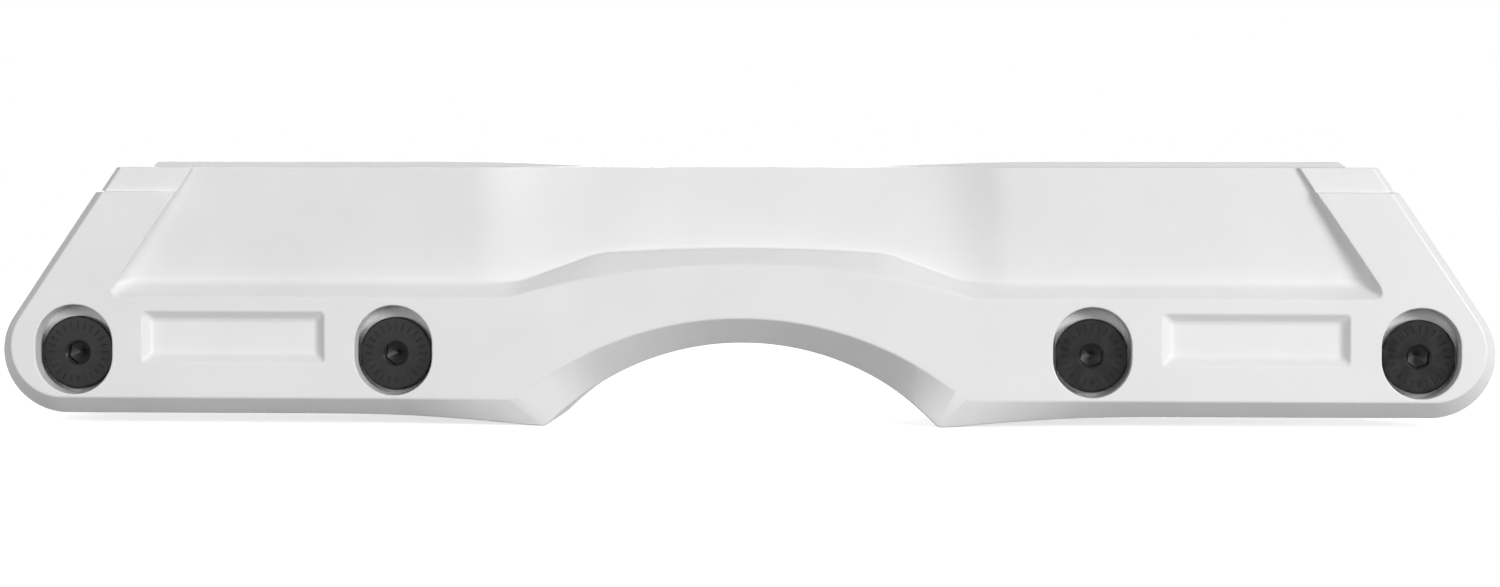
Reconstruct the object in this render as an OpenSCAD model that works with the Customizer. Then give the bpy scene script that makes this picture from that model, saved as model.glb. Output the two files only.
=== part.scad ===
// Aggressive inline skate frame: one moulded nylon chassis for four wheels,
// with four two-piece axles. Length along X, width along Y, up along Z.
// The origin lies on the ground under the middle of the frame.

/* [Overall] */
// Distance between the two outermost axles
wheelbase = 264.4; // [250:0.2:290]
// Distance between the two axles of one wheel bay
axle_pitch = 63.6; // [60:0.2:70]
// Height of the axles above the lowest edge
axle_z = 14.1; // [13:0.1:17]
// Width over the lower side bands
frame_w = 44; // [42:0.5:50]
// Height of the top edge of the side walls
wall_top_z = 51; // [49.5:0.5:58]
// From an outermost axle to the end of the frame
end_reach = 14.7; // [13:0.1:18]

/* [Ends] */
// Radius of the round lower end
end_r = 12.3; // [11:0.1:13]
// Lean of the end edges from upright, in degrees
end_lean = 34; // [24:1:38]
// Height of the small step near the top of the ends
step_z = 46.1; // [42:0.1:48]
// How far the ends are set back above that step
step_in = 0.9; // [0.4:0.1:1.4]

/* [Grinding block] */
// From an inner axle to the lower corner of the grinding block, along X
corner_to_axle = 30; // [28:0.2:33]
// Rise of the grinding arch above the corners
arch_rise = 16.3; // [12:0.1:18]
// Length of the flat on each lower corner
corner_flat = 2; // [1:0.1:4]
// Height of the walls' lower edge by the wheels
foot_z = 2.1; // [1:0.1:3]
// Length over which the lower edge runs down to a corner
foot_run = 41.4; // [25:0.2:60]

/* [Edge bevels] */
// Depth of the edge bevels, across the frame
bevel_d = 4.5; // [2:0.1:6]
// Height of the bevel along the walls' lower edge
bevel_foot = 3.3; // [1:0.1:4]
// Width of the bevel at the ends
bevel_end = 2.1; // [0.8:0.1:3]
// Width of the bevel along the leaning end edges
bevel_side = 1.5; // [0.4:0.1:1.6]
// Height of the bevel at the top of the arch
bevel_arch = 5.1; // [2:0.1:6]
// How far the bevel reaches past a corner, along X
bevel_corner = 5.6; // [2:0.1:7]

/* [Upper walls] */
// How far the upper wall is set back at its foot
wall_in = 4; // [2:0.1:5]
// How much less it is set back at its top edge
wall_flare = 2; // [0:0.1:2.4]
// Height of the lower band's upper edge
band_z = 25.3; // [25:0.1:28]
// Height of the sloping ledge above the band
ledge_h = 2.8; // [1:0.1:4]
// How much the band rises over the arch
band_crown = 6.6; // [2:0.1:8]
// How much the foot of the upper wall rises over the arch
wall_crown = 5.8; // [2:0.1:8]
// Half length of the rise over the arch
crown_run = 46; // [38:0.5:52]
// Half length of the level stretch at the foot of the upper wall
crown_flat = 24; // [10:0.5:30]
// Width of the proud end panels, along X
end_panel_w = 16.2; // [12:0.2:22]
// Width of the end panels' sloping flank at its foot, along X
flank_foot = 3.3; // [2:0.1:6]
// Width of that flank at the top edge, along X
flank_top = 1; // [0.5:0.1:2]

/* [Waist] */
// How far the waist is set back from the band's face
waist_in = 6; // [5:0.1:7.5]
// Half length of the waist's level stretch
waist_flat = 36; // [25:0.5:40]
// Length of the curve from the waist to the upper wall
waist_run = 16; // [8:0.5:20]
// Height of the lip between the ledge and the waist
waist_lip = 0.5; // [0.3:0.1:1]

/* [Wheel bays] */
// Clear width between the side walls
bay_w = 28; // [26:0.2:30]
// Radius kept clear for a wheel, around each axle
wheel_clear_r = 31.5; // [29:0.1:32.5]
// Gap between the bearing bosses
boss_gap = 24.2; // [23:0.1:25]
// Outer diameter of the bearing bosses
boss_d = 14; // [11:0.5:18]

/* [Axle head recesses] */
// Width of a recess, along X
recess_w = 15.3; // [15:0.1:17]
// Height of a recess
recess_h = 17.7; // [17.2:0.1:20]
// How far the middle of a recess lies above its axle
recess_up = 0.8; // [0.2:0.1:1]
// Wall left between a recess and the wheel bay
seat_wall = 1.7; // [1.2:0.1:3]

/* [Axles] */
// Diameter of the axle barrel, for 8 mm bearing bores
axle_d = 8; // [7:0.1:9]
// Diameter of both axle heads
head_d = 14.5; // [12:0.1:14.7]
// Width of the barrel head over its two flats
head_flats = 13.9; // [11:0.1:14]
// Thickness of both axle heads
head_h = 2.6; // [2:0.1:3.2]
// Edge chamfer of both axle heads
head_chamfer = 0.5; // [0.2:0.1:0.8]
// Width of the hexagon sockets over their flats
hex_af = 4; // [3:0.5:5]
// Depth of the hexagon sockets
hex_depth = 3.4; // [2:0.1:4]
// Diameter of the axle bolt's thread
thread_d = 6; // [5:0.5:6]
// Length of the axle bolt's shank under its head
thread_len = 14; // [12:0.5:15]
// Gap between the barrel's tip and the bolt's head
tip_gap = 0.5; // [0.2:0.1:1]
// Depth of the threaded bore past the bolt's tip
bore_spare = 1.5; // [0.5:0.1:3]
// Length of the locking sleeve on the bolt
lock_len = 4; // [2:0.5:6]
// Wall of the locking sleeve
lock_wall = 0.55; // [0.3:0.05:0.8]
// From the bolt's tip to its locking sleeve
lock_to_tip = 3; // [1:0.5:5]
// Radial running clearance of the axle pieces
run_gap = 0.05; // [0.02:0.01:0.08]

/* [Side pockets between the axles] */
// Length of a pocket's mouth
pocket_len = 36.5; // [25:0.5:40]
// Height of a pocket's mouth
pocket_h = 10.2; // [8:0.2:12]
// Height of a pocket's middle
pocket_z = 17.4; // [15:0.1:18]
// Width of a pocket's sloping border
pocket_bevel = 1.7; // [1:0.1:3]
// Depth of a pocket
pocket_d = 1.8; // [1:0.1:3]

/* [Boot deck] */
// How far the boot seats stand above the wall edges
seat_raise = 1.1; // [0.5:0.1:2]
// Width of the boot seats
seat_w = 30; // [26:0.5:31]
// From the wall's top corner to the end of a seat
seat_from_end = 5; // [4:0.2:12]
// Half length of the level stretch between the seats
saddle_flat = 10; // [4:0.5:20]
// Length of the rise from the saddle to a seat
saddle_run = 48; // [20:0.5:50]
// Distance between the two boot bolt slots
slot_pitch = 167; // [160:0.5:175]
// Width of the boot bolt slots
slot_w = 6.6; // [6.4:0.1:8.6]
// End-to-end length of the boot bolt slots
slot_len = 14; // [10:0.5:20]
// Width of the shallow relief round each slot
relief_w = 15; // [12:0.5:20]
// Length of that relief
relief_len = 38; // [24:0.5:42]
// Depth of that relief
relief_d = 0.7; // [0.3:0.1:1.2]
// Width of the seat for a bolt's head, under the deck
washer_w = 13; // [11:0.5:16]
// Length of the seat for a bolt's head
washer_len = 21; // [18:0.5:26]
// Depth of the seat for a bolt's head
washer_d = 1.6; // [0.6:0.1:2]

/* [Core pockets in the block] */
// Length of each core pocket
core_len = 26; // [15:0.5:28]
// Width of the core pockets
core_w = 18; // [12:0.5:20]
// Height of the core pockets' floor
core_z = 24; // [22:0.5:35]
// Rib between the two core pockets
core_rib = 5; // [3:0.5:10]

/* [Hidden] */
$fn = 96;
over = 1;
end_steps = 16;
run_steps = 10;
arch_steps = 20;
crown_steps = 14;
shoulder_steps = 12;
half_w = frame_w / 2;
outer_x = wheelbase / 2;
inner_x = outer_x - axle_pitch;
axle_xs = [-outer_x, -inner_x, inner_x, outer_x];
end_x = outer_x + end_reach;
corner_x = inner_x - corner_to_axle;
edge_dir = [cos(end_lean), sin(end_lean)];
core_y = half_w - bevel_d;
seat_y = bay_w / 2 + seat_wall;
recess_d = half_w - seat_y;
seat_z = wall_top_z + seat_raise;
bay_top_z = axle_z + wheel_clear_r;
wall_foot_z = band_z + ledge_h;
bolt_r = thread_d / 2 - run_gap;
groove_r = bolt_r - lock_wall - run_gap;
tip_y = seat_y - thread_len;
lock_y = tip_y + lock_to_tip;

// Points of an arc about c, from angle a0 to a1
function arc(c, r, a0, a1, n) =
  [for (i = [0:n]) let (a = a0 + (a1 - a0) * i / n) c + r * [cos(a), sin(a)]];

// Smooth step from 0 to 1 as t goes from 0 to 1
function ease(t) = (1 - cos(180 * min(1, max(0, t)))) / 2;

// A half outline and its mirror image, as one ring
function mirrored(half) =
  concat(half, [for (i = [len(half) - 2:-1:0]) [-half[i][0], half[i][1]]]);

// Radius of the circle through both ends of a chord, at a given rise
function chord_r(half_chord, rise) = (half_chord * half_chord + rise * rise) / (2 * rise);

// X of a leaning end edge at height z, for its distance from the origin
function edge_x(reach, z) = (reach - z * edge_dir[1]) / edge_dir[0];

// Half of a side outline, from the top edge round the end to the top of the arch
function half_outline(c, r, reach, foot, corner, apex) =
  let (arch_r = chord_r(corner[0], apex - corner[1]))
  let (arch_c = [0, apex - arch_r])
  let (run_x = corner[0] + corner_flat)
  concat(
    [
      [edge_x(reach, wall_top_z) - step_in, wall_top_z],
      [edge_x(reach, step_z) - step_in, step_z],
      [edge_x(reach, step_z), step_z]
    ],
    arc(c, r, end_lean, -90, end_steps),
    [for (i = [0:run_steps]) let (t = i / run_steps)
      [run_x + foot_run * (1 - t), foot + (corner[1] - foot) * t * t]],
    arc(arch_c, arch_r, atan2(corner[1] - arch_c[1], corner[0]), 90, arch_steps)
  );

// The outline that the edges reach, and the smaller outline of the flat side faces
end_c = [end_x - end_r, foot_z + end_r];
end_edge = end_c * edge_dir + end_r;
outline = mirrored(half_outline(end_c, end_r, end_edge, foot_z, [corner_x, 0], arch_rise));
face_edge = end_edge - bevel_side;
face_foot_z = foot_z + bevel_foot;
face_end_x = end_x - bevel_end;
face_r = (face_edge - edge_dir * [face_end_x, face_foot_z]) / (1 - edge_dir[0] + edge_dir[1]);
face_c = [face_end_x - face_r, face_foot_z + face_r];
face_corner = [corner_x + bevel_corner, face_foot_z];
face_outline = mirrored(
  half_outline(face_c, face_r, face_edge, face_foot_z, face_corner, arch_rise + bevel_arch));

// Closed solid through rings of points that all have the same count
module skin(rings) {
  n = len(rings[0]);
  last = (len(rings) - 1) * n;
  polyhedron(
    points = [for (ring = rings) each ring],
    faces = concat(
      [[for (i = [n - 1:-1:0]) i]],
      [[for (i = [0:n - 1]) last + i]],
      [for (base = [0:n:last - 1]) each [for (i = [0:n - 1])
        [base + i, base + (i + 1) % n, base + n + i]]],
      [for (base = [0:n:last - 1]) each [for (i = [0:n - 1])
        [base + (i + 1) % n, base + n + (i + 1) % n, base + n + i]]]
    )
  );
}

// An outline in X and Z as a ring of points at a given Y
function ring_at(points, y) = [for (p = points) [p[0], y, p[1]]];

// A flat outline in X and Z, given a thickness across the frame
module across(y0, y1) {
  translate([0, y1, 0]) rotate([90, 0, 0]) linear_extrude(y1 - y0) children();
}

// A round bar along Y
module bar(d, y0, y1) {
  translate([0, y0, 0]) rotate([-90, 0, 0]) cylinder(d = d, h = y1 - y0);
}

// A flat-sided slot shape along X, standing on z = 0
module slot(w, l, h) {
  for (side = [-1, 1]) translate([side * (l - w) / 2, 0, 0]) cylinder(d = w, h = h);
  translate([-(l - w) / 2, -w / 2, 0]) cube([l - w, w, h]);
}

module both_sides() {
  children();
  mirror([0, 1, 0]) children();
}

module both_ends() {
  children();
  mirror([1, 0, 0]) children();
}

// The block that the chassis is cut from, bevelled round its side faces
module blank() {
  function past_face(side) =
    ring_at(face_outline + (face_outline - outline) * over / bevel_d, side * (half_w + over));
  intersection() {
    skin([past_face(1), ring_at(outline, core_y), ring_at(outline, -core_y), past_face(-1)]);
    translate([-end_x - over, -half_w, -over])
      cube([2 * (end_x + over), frame_w, wall_top_z + 2 * over]);
  }
}

// Height of the band's upper edge and of the upper wall's foot, along X
band_r = chord_r(crown_run, band_crown);
function band_edge(x) = band_z + band_crown - band_r + sqrt(band_r * band_r - x * x);
function wall_foot(x) =
  wall_foot_z + wall_crown * (1 - ease((abs(x) - crown_flat) / (crown_run - crown_flat)));

// Half width of the upper wall at height z
function wall_y(z) =
  half_w - wall_in + wall_flare * (z - wall_foot_z) / (wall_top_z - wall_foot_z);

// Sinks the upper wall back behind the band and the end panels
crown_xs = [for (i = [0:crown_steps]) crown_run * (1 - i / crown_steps)];
recess_top_z = wall_top_z + over;
flank_x = edge_x(end_edge, 0) - end_panel_w;
function flank(z) = flank_x - z * edge_dir[1] / edge_dir[0];
upper_floor = mirrored(concat(
  [[flank(recess_top_z) - flank_top, recess_top_z], [flank(wall_foot_z) - flank_foot, wall_foot_z]],
  [for (x = crown_xs) [x, wall_foot(x)]]
));
upper_mouth = mirrored(concat(
  [[flank(recess_top_z), recess_top_z], [flank(band_z), band_z]],
  [for (x = crown_xs) [x, band_edge(x)]]
));

module upper_recess() {
  rim = ring_at(upper_mouth, -half_w);
  inner = [for (p = upper_floor) [p[0], -wall_y(p[1]), p[1]]];
  slope = [for (i = [0:len(rim) - 1]) (rim[i] - inner[i]) * over / (half_w + inner[i][1])];
  foot_z = band_z - over;
  head_z = recess_top_z + over;
  intersection() {
    skin([inner - slope, rim + slope]);
    translate([-end_x, 0, 0]) rotate([90, 0, 90]) linear_extrude(2 * end_x)
      polygon([
        [-wall_y(foot_z), foot_z], [-wall_y(head_z), head_z],
        [-half_w - 2 * over, head_z], [-half_w - 2 * over, foot_z]
      ]);
  }
}

// Draws the middle of the upper wall in to a waist, with soft shoulders
module waist_recess() {
  deep_y = half_w - waist_in;
  out_y = wall_y(recess_top_z) + over;
  reach = waist_flat + waist_run;
  shoulder = [for (i = [0:shoulder_steps]) let (t = i / shoulder_steps)
    [reach - waist_run * t, -out_y + (out_y - deep_y) * ease(t)]];
  foot = mirrored(concat(
    [[reach + over, recess_top_z]],
    [for (i = [0:crown_steps]) let (x = (reach + over) * (1 - i / crown_steps))
      [x, wall_foot(x) + waist_lip]]
  ));
  intersection() {
    linear_extrude(recess_top_z)
      polygon(concat(shoulder, [for (i = [shoulder_steps:-1:0]) [-shoulder[i][0], shoulder[i][1]]]));
    across(-half_w - over, 0) polygon(foot);
  }
}

// Thins the end panels above the step
module step_recess() {
  translate([-end_x, -half_w - over, step_z])
    cube([2 * end_x, over + step_in, wall_top_z + over - step_z]);
}

// Room for two wheels, open below and at the end
module wheel_bay() {
  across(-bay_w / 2, bay_w / 2) {
    translate([inner_x, axle_z]) circle(wheel_clear_r);
    translate([inner_x, -over]) square([end_x - inner_x + over, bay_top_z + over]);
  }
}

// Bosses that the wheel bearings run up to
module bosses() {
  for (x = axle_xs) translate([x, 0, axle_z])
    both_sides() bar(boss_d, -bay_w / 2 - over, -boss_gap / 2);
}

// Tall round-ended recess for an axle head, and the axle's bore
module axle_holes() {
  for (x = axle_xs) {
    translate([x, 0, axle_z]) bar(axle_d + 2 * run_gap, -seat_y - over, seat_y + over);
    translate([x, 0, axle_z + recess_up]) both_sides()
      translate([0, -seat_y, 0]) rotate([0, 90, 0]) rotate([90, 0, 0])
        slot(recess_w, recess_h, recess_d + over);
  }
}

// Shallow pocket with sloping borders, between the two axles of a bay
module side_pocket() {
  spread = over * pocket_bevel / pocket_d;
  module section(length) {
    polygon([
      [-length / 2 - spread, -half_w - over], [length / 2 + spread, -half_w - over],
      [length / 2 - pocket_bevel, -half_w + pocket_d], [-length / 2 + pocket_bevel, -half_w + pocket_d]
    ]);
  }
  reach = pocket_len + pocket_h;
  translate([(outer_x + inner_x) / 2, 0, pocket_z]) intersection() {
    linear_extrude(reach, center = true) section(pocket_len);
    rotate([0, -90, 0]) linear_extrude(reach, center = true) section(pocket_h);
  }
}

// The two boot seats, with the saddle between them
module boot_seats() {
  seat_end_x = edge_x(end_edge, wall_top_z) - step_in - seat_from_end;
  rise = [for (i = [shoulder_steps:-1:0]) let (t = i / shoulder_steps)
    [saddle_flat + saddle_run * t, seat_raise * ease(t)]];
  top = concat([[seat_end_x, 0], [seat_end_x - seat_raise, seat_raise]], rise, [[0, 0]]);
  translate([0, 0, wall_top_z]) across(-seat_w / 2, seat_w / 2)
    polygon(concat(mirrored(top), [[-seat_end_x, -over], [seat_end_x, -over]]));
}

// Slot for a boot bolt, with its relief above and its seat below the deck
module boot_slot() {
  translate([slot_pitch / 2, 0, 0]) {
    translate([0, 0, axle_z]) slot(slot_w, slot_len, seat_z + over - axle_z);
    translate([0, 0, seat_z - relief_d]) slot(relief_w, relief_len, relief_d + over);
    translate([0, 0, axle_z]) slot(washer_w, washer_len, bay_top_z + washer_d - axle_z);
  }
}

// Pockets that keep the block's walls of even thickness
module core_pocket() {
  translate([core_rib / 2, -core_w / 2, core_z]) cube([core_len, core_w, seat_z + over - core_z]);
}

// The blank with its upper walls and waist sunk in
module side_walls() {
  difference() {
    difference() {
      blank();
      both_sides() upper_recess();
    }
    both_sides() waist_recess();
  }
}

// The walls with the boot seats on top, opened for the wheels
module hollowed_walls() {
  difference() {
    union() {
      side_walls();
      boot_seats();
    }
    both_ends() wheel_bay();
  }
}

// The chassis: side walls, boot deck and grinding block in one moulding
module frame_body() {
  color("whitesmoke") difference() {
    union() {
      hollowed_walls();
      bosses();
    }
    both_sides() step_recess();
    both_sides() both_ends() side_pocket();
    axle_holes();
    both_ends() boot_slot();
    both_ends() core_pocket();
  }
}

// An axle head along -Y, from its seat outwards, with a hexagon socket
module axle_head() {
  difference() {
    rotate([90, 0, 0]) rotate_extrude() polygon([
      [0, 0], [head_d / 2, 0], [head_d / 2, head_h - head_chamfer],
      [head_d / 2 - head_chamfer, head_h], [0, head_h]
    ]);
    hex_socket();
  }
}

module hex_socket() {
  translate([0, hex_depth - head_h, 0]) rotate([90, 0, 0])
    cylinder(d = hex_af / cos(30), h = hex_depth + over, $fn = 6);
}

// Barrel with a head that two flats keep from turning, threaded at its far end
module axle_barrel(i) {
  color([0.16, 0.16, 0.17]) translate([axle_xs[i - 1], 0, axle_z]) difference() {
    union() {
      translate([0, -seat_y, 0]) intersection() {
        axle_head();
        translate([-head_flats / 2, -head_h, -head_d / 2]) cube([head_flats, head_h, head_d]);
      }
      bar(axle_d, -seat_y, seat_y - tip_gap);
    }
    translate([0, -seat_y, 0]) hex_socket();
    bar(thread_d, tip_y - bore_spare, seat_y);
  }
}

// Bolt that screws into the barrel from the other side
module axle_bolt(i) {
  color([0.16, 0.16, 0.17]) translate([axle_xs[i - 1], 0, axle_z]) difference() {
    union() {
      translate([0, seat_y, 0]) mirror([0, 1, 0]) axle_head();
      bar(2 * bolt_r, tip_y, seat_y);
    }
    translate([0, seat_y, 0]) mirror([0, 1, 0]) hex_socket();
    difference() {
      bar(thread_d + over, lock_y, lock_y + lock_len);
      bar(2 * groove_r, lock_y, lock_y + lock_len);
    }
  }
}

// Nylon sleeve in a groove of the bolt, which keeps the thread from working loose
module lock_sleeve(i) {
  color("royalblue") translate([axle_xs[i - 1], 0, axle_z]) difference() {
    bar(2 * bolt_r, lock_y, lock_y + lock_len);
    bar(2 * (groove_r + run_gap), lock_y - over, lock_y + lock_len + over);
  }
}

frame_body();
axle_barrel(1);  // axle_barrel_1
axle_barrel(2);  // axle_barrel_2
axle_barrel(3);  // axle_barrel_3
axle_barrel(4);  // axle_barrel_4
axle_bolt(1);  // axle_bolt_1
axle_bolt(2);  // axle_bolt_2
axle_bolt(3);  // axle_bolt_3
axle_bolt(4);  // axle_bolt_4
lock_sleeve(1);  // lock_sleeve_1
lock_sleeve(2);  // lock_sleeve_2
lock_sleeve(3);  // lock_sleeve_3
lock_sleeve(4);  // lock_sleeve_4
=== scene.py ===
# %% [markdown]
# # An inline skate frame, dressed for its picture
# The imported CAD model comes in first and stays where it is. It already has the right sizes, bodies and
# joints. This lesson gives it the surfaces of the real object: a moulded nylon chassis with soft edges,
# blackened steel axles, a white floor and a studio light. Everything is worked in millimetres, which are
# easier to read, and made metres at the end.

# %% Load the frame
import math
import bmesh
import bpy
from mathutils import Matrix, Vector


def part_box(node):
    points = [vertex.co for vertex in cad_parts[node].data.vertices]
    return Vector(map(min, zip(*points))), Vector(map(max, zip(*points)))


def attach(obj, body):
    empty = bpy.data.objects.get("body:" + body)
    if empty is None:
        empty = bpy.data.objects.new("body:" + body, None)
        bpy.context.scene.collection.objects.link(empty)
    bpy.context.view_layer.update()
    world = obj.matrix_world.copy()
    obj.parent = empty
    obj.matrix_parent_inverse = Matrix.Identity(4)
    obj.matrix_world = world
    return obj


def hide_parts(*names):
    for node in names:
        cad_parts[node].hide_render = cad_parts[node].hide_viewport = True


MM = 0.001


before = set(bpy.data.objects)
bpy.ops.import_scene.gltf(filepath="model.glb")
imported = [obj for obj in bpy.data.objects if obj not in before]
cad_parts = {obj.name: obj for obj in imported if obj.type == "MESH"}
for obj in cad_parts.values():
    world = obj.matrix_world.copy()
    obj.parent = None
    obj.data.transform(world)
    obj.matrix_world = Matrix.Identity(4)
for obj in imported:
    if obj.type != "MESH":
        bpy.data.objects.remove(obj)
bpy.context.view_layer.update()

# %% [markdown]
# ## Tools of the bench
# A mesh operator acts on everything that is selected, so each step first picks one piece and nothing
# else. A hole could be built face by face, but a boolean modifier cuts one piece with another in one
# step, and the cutter is thrown away afterwards. A mirror modifier repeats a cutter on the other side or
# the other end, because the frame is the same there.


# %% Pick, cut and mirror
def pick_none():
    bpy.ops.object.select_all(action="DESELECT")


def pick(piece):
    pick_none()
    piece.select_set(True)
    bpy.context.view_layer.objects.active = piece


def apply_modifier(piece, kind, **settings):
    pick(piece)
    modifier = piece.modifiers.new(kind.lower(), kind)
    for name, value in settings.items():
        setattr(modifier, name, value)
    bpy.ops.object.modifier_apply(modifier=modifier.name)


def combine(body, tool, operation):
    apply_modifier(body, "BOOLEAN", object=tool, operation=operation, solver="EXACT")
    bpy.data.objects.remove(tool, do_unlink=True)


def cut(body, tool):
    combine(body, tool, "DIFFERENCE")


def mirror(piece, x=False, y=False):
    apply_modifier(piece, "MIRROR", use_axis=(x, y, False), use_mirror_merge=False)


# %% [markdown]
# ## Solids from rings
# Most shapes of a moulding are a ring of points that changes as it runs along. A circle primitive gives
# the ring, its points are set on the outline, and extruding its edges draws the next ring, which is set
# in its turn. Bridging separate rings would do too, but extruding keeps their points in step. Filling the
# two open ends closes the solid, and its normals are then turned outwards.


# %% Loft a solid through rings
def close_ends():
    """Fills the open ends of the mesh in edit mode, turns its faces outwards and leaves edit mode."""
    bpy.ops.mesh.select_all(action="SELECT")
    bpy.ops.mesh.fill_holes(sides=0)
    bpy.ops.mesh.select_all(action="SELECT")
    bpy.ops.mesh.normals_make_consistent(inside=False)
    bpy.ops.object.mode_set(mode="OBJECT")


def add_ring(name, points):
    """A circle of edges with so many points, selected and active."""
    pick_none()
    bpy.ops.mesh.primitive_circle_add(vertices=points, radius=1.0, fill_type="NOTHING")
    bpy.context.object.name = name
    return bpy.context.object


def loft(name, rings):
    solid = add_ring(name, len(rings[0]))
    bpy.ops.object.mode_set(mode="EDIT")
    bpy.ops.mesh.select_all(action="SELECT")
    for number, ring in enumerate(rings):
        if number > 0:
            bpy.ops.mesh.extrude_edges_move()
        mesh = bmesh.from_edit_mesh(solid.data)
        drawn = [vertex for vertex in mesh.verts if vertex.select]
        drawn.sort(key=lambda vertex: vertex.index)
        for vertex, point in zip(drawn, ring):
            vertex.co = point
        bmesh.update_edit_mesh(solid.data)
    close_ends()
    return solid


# %% [markdown]
# ## The blank of the chassis
# Seen from the side, the frame is a long bar with round ends that lean in, and an arch in the middle for
# grinding. Its edge outline runs round the middle of the bar, and a smaller face outline lies on each
# side face, so that a bevel runs between them all the way round. The bevel operator could cut it at one
# width, but this bevel changes its width and depth on its way. Both outlines come from one function, so
# their points match.

# %% Side outline, in millimetres
AXLE_Z = 14.1
OUTER_X = 132.2
INNER_X = 68.6
HALF_W = 22.0
TOP_Z, BLANK_TOP = 51.0, 53.5
END_X, END_R = OUTER_X + 14.68, 12.3
END_LEAN = math.radians(34.0)
STEP_Z, STEP_IN = 46.1, 0.9
CORNER_X = INNER_X - 30.0
CORNER_FLAT, CORNER_R = 2.0, 2.0
FOOT_Z, FOOT_RUN = 2.1, 41.4
ARCH_RISE = 16.3
END_STEPS, RUN_STEPS, CORNER_STEPS, ARCH_STEPS = 28, 20, 14, 44


def arc(centre, radius, start, end, steps):
    angles = [math.radians(start + (end - start) * step / steps) for step in range(steps + 1)]
    return [(centre[0] + radius * math.cos(a), centre[1] + radius * math.sin(a)) for a in angles]


def chord_radius(half_chord, rise):
    return (half_chord ** 2 + rise ** 2) / (2 * rise)


def lean_x(reach, z):
    """X of an end's leaning edge at height z, for its distance from the origin."""
    return (reach - z * math.sin(END_LEAN)) / math.cos(END_LEAN)


def half_outline(centre, radius, reach, foot, corner, apex, corner_r):
    """Half of a side outline, from the top of an end, round its foot, to the top of the arch."""
    arch_r = chord_radius(corner[0], apex - corner[1])
    arch_c = (0.0, apex - arch_r)
    run_x = corner[0] + CORNER_FLAT
    # The block's corner is a small arc that touches the flat below it and the arch
    fillet_z = corner[1] + corner_r
    fillet_x = math.sqrt((arch_r + corner_r) ** 2 - (fillet_z - arch_c[1]) ** 2)
    start = math.degrees(math.atan2(fillet_z - arch_c[1], fillet_x))
    points = [
        (lean_x(reach, BLANK_TOP) - STEP_IN, BLANK_TOP),
        (lean_x(reach, STEP_Z) - STEP_IN, STEP_Z),
        (lean_x(reach, STEP_Z), STEP_Z),
    ]
    points += arc(centre, radius, math.degrees(END_LEAN), -90.0, END_STEPS)
    for step in range(RUN_STEPS):
        t = step / RUN_STEPS
        points.append((run_x + FOOT_RUN * (1 - t), foot + (corner[1] - foot) * t * t))
    points += arc((fillet_x, fillet_z), corner_r, -90.0, start - 180.0, CORNER_STEPS)
    points += arc(arch_c, arch_r, start, 90.0, ARCH_STEPS)[1:]
    return points


def whole(half):
    """A half outline with its mirror image."""
    return half + [(-x, z) for x, z in reversed(half[:-1])]


end_c = (END_X - END_R, FOOT_Z + END_R)
end_reach = end_c[0] * math.cos(END_LEAN) + end_c[1] * math.sin(END_LEAN) + END_R
edge_corner = (CORNER_X, 0.0)
edge_outline = whole(half_outline(end_c, END_R, end_reach, FOOT_Z, edge_corner, ARCH_RISE, CORNER_R))
print("edge outline:", len(edge_outline), "points, length", round(2 * END_X, 1), "mm")

# %% [markdown]
# On the real frame the bevel is shallow at the ends, deeper along the foot, shallow again at the corners
# of the block and deepest in the arch, which slides on rails. So the edge ring isn't flat: each of its
# points lies as far behind the side face as the bevel is deep there.

# %% Loft the blank between the two side faces
SIDE_DEPTH, FOOT_DEPTH, CORNER_DEPTH, ARCH_DEPTH = 2.2, 4.5, 1.9, 6.8
FOOT_HOLD, ARCH_BLEND = 0.4, 0.34
LEAN_BEVEL, FOOT_BEVEL, END_BEVEL, ARCH_BEVEL = 1.5, 3.3, 2.1, 5.1
FACE_CORNER_OUT, FACE_CORNER_R = 5.6, 5.0


def ease(t):
    return (1 - math.cos(math.pi * min(1.0, max(0.0, t)))) / 2


def mix(a, b, t):
    return a + (b - a) * t


def half_depths():
    """How deep the bevel is at each point of half_outline, which starts with the three of the step."""
    depths = [SIDE_DEPTH] * 3
    depths += [mix(SIDE_DEPTH, FOOT_DEPTH, ease(step / END_STEPS)) for step in range(END_STEPS + 1)]
    for step in range(RUN_STEPS):
        t = (step / RUN_STEPS - FOOT_HOLD) / (1 - FOOT_HOLD)
        depths.append(mix(FOOT_DEPTH, CORNER_DEPTH, max(0.0, t)))
    depths += [CORNER_DEPTH] * (CORNER_STEPS + 1)
    for step in range(1, ARCH_STEPS + 1):
        depths.append(mix(CORNER_DEPTH, ARCH_DEPTH, ease(step / ARCH_STEPS / ARCH_BLEND)))
    return depths


def edge_ring(side):
    half = half_depths()
    depths = half + half[-2::-1]
    return [(x, side * (HALF_W - depth), z) for (x, z), depth in zip(edge_outline, depths)]


def across(points, y):
    """An outline in X and Z as a ring at one Y."""
    return [(x, y, z) for x, z in points]


face_reach = end_reach - LEAN_BEVEL
face_foot, face_end = FOOT_Z + FOOT_BEVEL, END_X - END_BEVEL
face_r = face_reach - face_end * math.cos(END_LEAN) - face_foot * math.sin(END_LEAN)
face_r /= 1 - math.cos(END_LEAN) + math.sin(END_LEAN)
face_c = (face_end - face_r, face_foot + face_r)
face_corner = (CORNER_X + FACE_CORNER_OUT, face_foot)
face_outline = whole(half_outline(
    face_c, face_r, face_reach, face_foot, face_corner, ARCH_RISE + ARCH_BEVEL, FACE_CORNER_R))
chassis = loft("chassis", [
    across(face_outline, -HALF_W), edge_ring(-1), edge_ring(1), across(face_outline, HALF_W),
])
print("blank:", len(chassis.data.polygons), "faces")

# %% [markdown]
# A face that runs the whole length of the frame breaks into long thin triangles when it is cut, and they
# shade badly. Bisecting the blank between the places of the later cuts gives each cut short faces of its
# own.

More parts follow.
